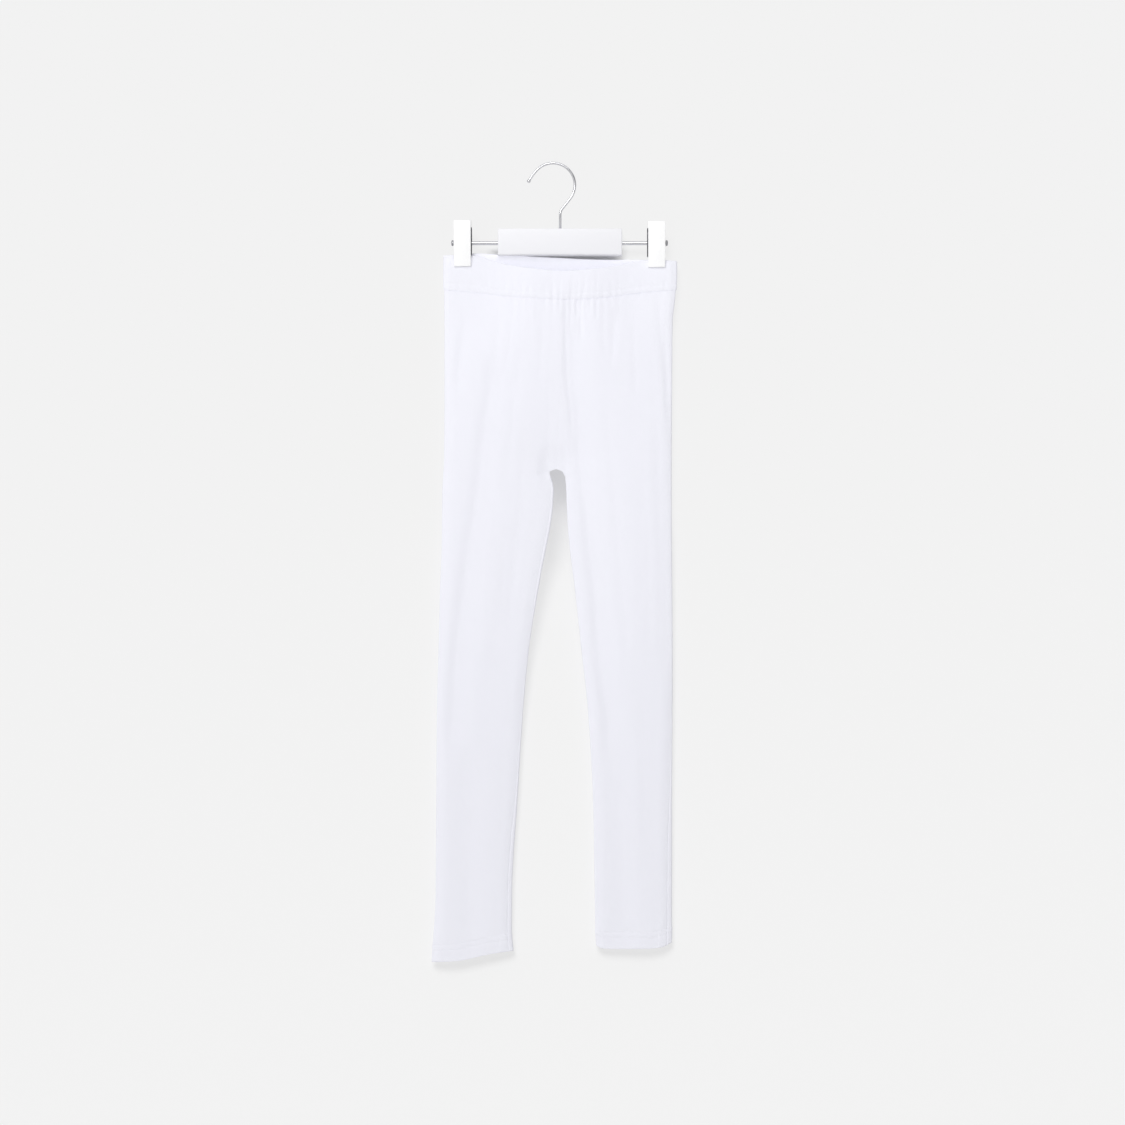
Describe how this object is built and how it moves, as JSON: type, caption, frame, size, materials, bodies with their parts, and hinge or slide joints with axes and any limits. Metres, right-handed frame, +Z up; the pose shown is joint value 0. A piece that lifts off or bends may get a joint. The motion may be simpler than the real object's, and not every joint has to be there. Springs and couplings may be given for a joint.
{
  "type": "leggings on a clip hanger",
  "caption": "White jersey leggings with an elasticated waistband and turned hems, hung flat by spring clips from a small hanger with a wire hook.",
  "frame": {"origin": "the seat inside the top of the hanger's hook, where a rail or peg carries it", "axes": "+Z up, +X to the right as seen from the front, front of the leggings facing -Y"},
  "size_m": [0.2828, 0.0267, 0.9247],
  "materials": {
    "jersey": "matt white cotton jersey with a faint cool cast",
    "white_plastic": "smooth white moulded plastic",
    "chromed_wire": "bright chromed steel wire",
    "spring_steel": "dark bare spring steel"
  },
  "bodies": {
    "root": {"front_left": "jersey", "front_right": "jersey", "back_left": "jersey", "back_right": "jersey", "waistband_front": "jersey", "waistband_back": "jersey", "hanger_hook": "chromed_wire", "hanger_bar": "white_plastic", "hanger_rod": "chromed_wire", "rod_stop_left": "spring_steel", "rod_stop_right": "spring_steel", "clip_left_front_jaw": "white_plastic", "clip_left_back_jaw": "white_plastic", "clip_left_spring": "spring_steel", "clip_left_sleeve": "white_plastic", "clip_right_front_jaw": "white_plastic", "clip_right_back_jaw": "white_plastic", "clip_right_spring": "spring_steel", "clip_right_sleeve": "white_plastic"}
  },
  "joints": []
}
